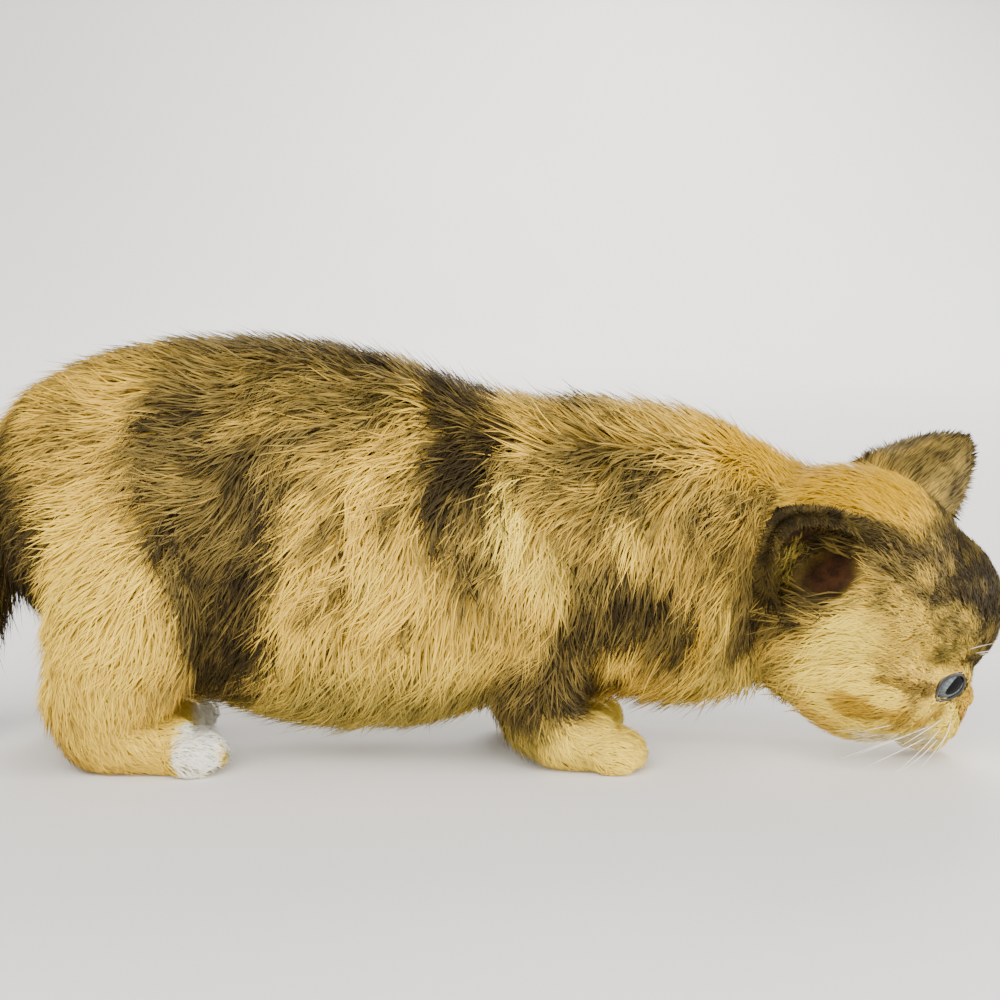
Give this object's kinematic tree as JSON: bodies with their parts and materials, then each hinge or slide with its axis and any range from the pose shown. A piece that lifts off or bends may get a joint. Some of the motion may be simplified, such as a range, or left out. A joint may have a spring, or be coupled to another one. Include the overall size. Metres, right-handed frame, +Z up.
{
  "type": "munchkin kitten figure",
  "caption": "Life-size standing figure of a short-legged munchkin kitten with a fluffy coat, its head low and tilted as if sniffing the ground.",
  "frame": {"origin": "middle of the bounding box in plan, at the level of the paws' flats", "axes": "+X from tail to nose, +Y to the kitten's left, +Z up"},
  "size_m": [0.2868, 0.0972, 0.1074],
  "materials": {
    "head": "fluffy kitten fur, brown and buff",
    "neck": "fluffy kitten fur, brown and buff",
    "torso": "fluffy kitten fur, brown and buff",
    "tail_base": "fluffy kitten fur, brown and buff",
    "tail_tip": "fluffy kitten fur, brown and buff",
    "ear_left": "short dark fur over a thin ear",
    "ear_right": "short dark fur over a thin ear",
    "eye_left": "wet eyeball, blue-grey",
    "eye_right": "wet eyeball, blue-grey",
    "leg_front_left": "fluffy kitten fur, brown and buff",
    "leg_front_right": "fluffy kitten fur, brown and buff",
    "leg_hind_left": "fluffy kitten fur, brown and buff",
    "leg_hind_right": "fluffy kitten fur, brown and buff"
  },
  "bodies": {
    "root": {"head": "head", "neck": "neck", "torso": "torso", "tail_base": "tail_base", "tail_tip": "tail_tip", "ear_left": "ear_left", "ear_right": "ear_right", "eye_left": "eye_left", "eye_right": "eye_right", "leg_front_left": "leg_front_left", "leg_front_right": "leg_front_right", "leg_hind_left": "leg_hind_left", "leg_hind_right": "leg_hind_right"}
  },
  "joints": []
}
